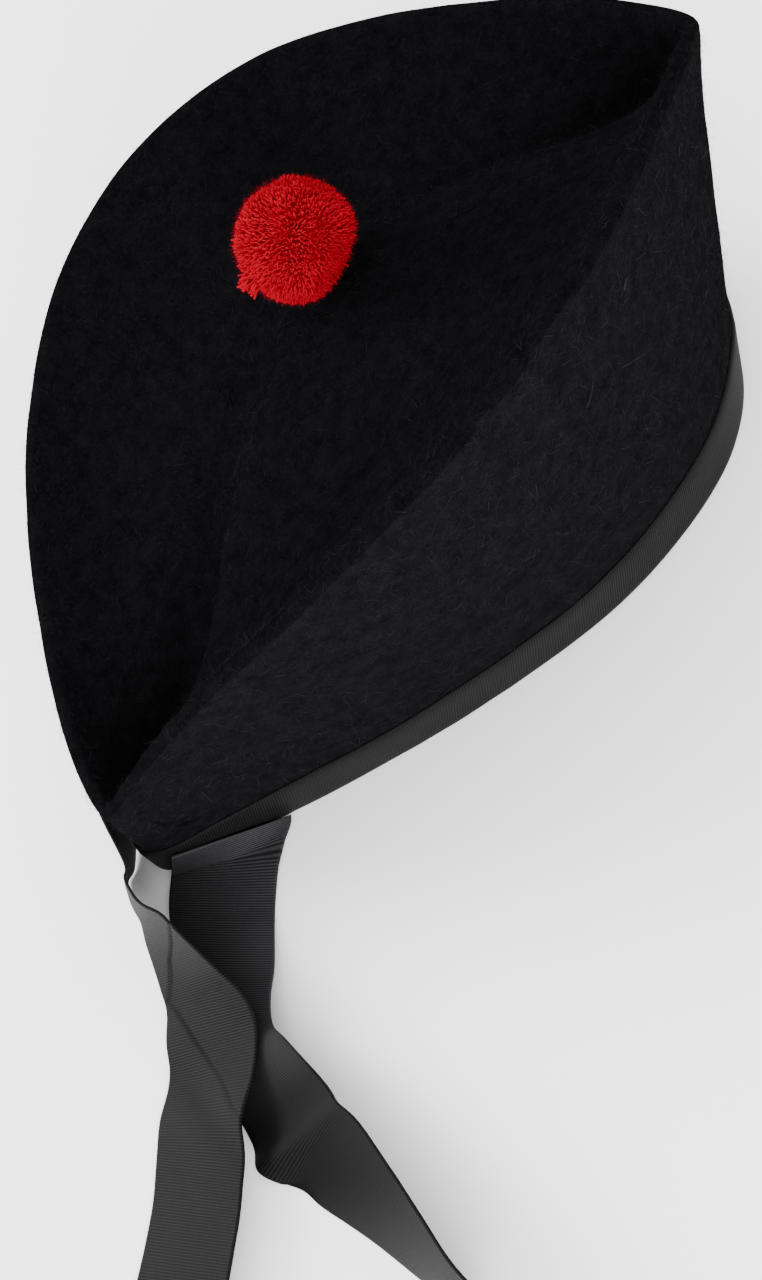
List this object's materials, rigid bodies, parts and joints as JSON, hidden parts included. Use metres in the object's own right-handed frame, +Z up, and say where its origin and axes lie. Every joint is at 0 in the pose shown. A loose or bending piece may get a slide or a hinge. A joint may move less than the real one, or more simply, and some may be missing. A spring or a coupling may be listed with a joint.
{
  "type": "glengarry cap",
  "caption": "Boat-shaped soft felt cap with a sunken crown, grosgrain-bound rim, red wool pompom and ribbon tails at the back.",
  "frame": {"origin": "middle of the model's box in plan, on the surface that the cap stands on", "axes": "+X to the wearer's front, +Y to the wearer's left, +Z up"},
  "size_m": [0.3656, 0.2898, 0.1276],
  "materials": {
    "felt": "matt wool felt, near-black navy",
    "grosgrain": "ribbed black grosgrain ribbon with a soft sheen",
    "red_wool": "fluffy cut wool yarn"
  },
  "bodies": {
    "root": {"cap_body": "felt", "rim_binding": "grosgrain", "near_tail": "grosgrain", "far_tail": "grosgrain", "toorie": "red_wool"}
  },
  "joints": []
}
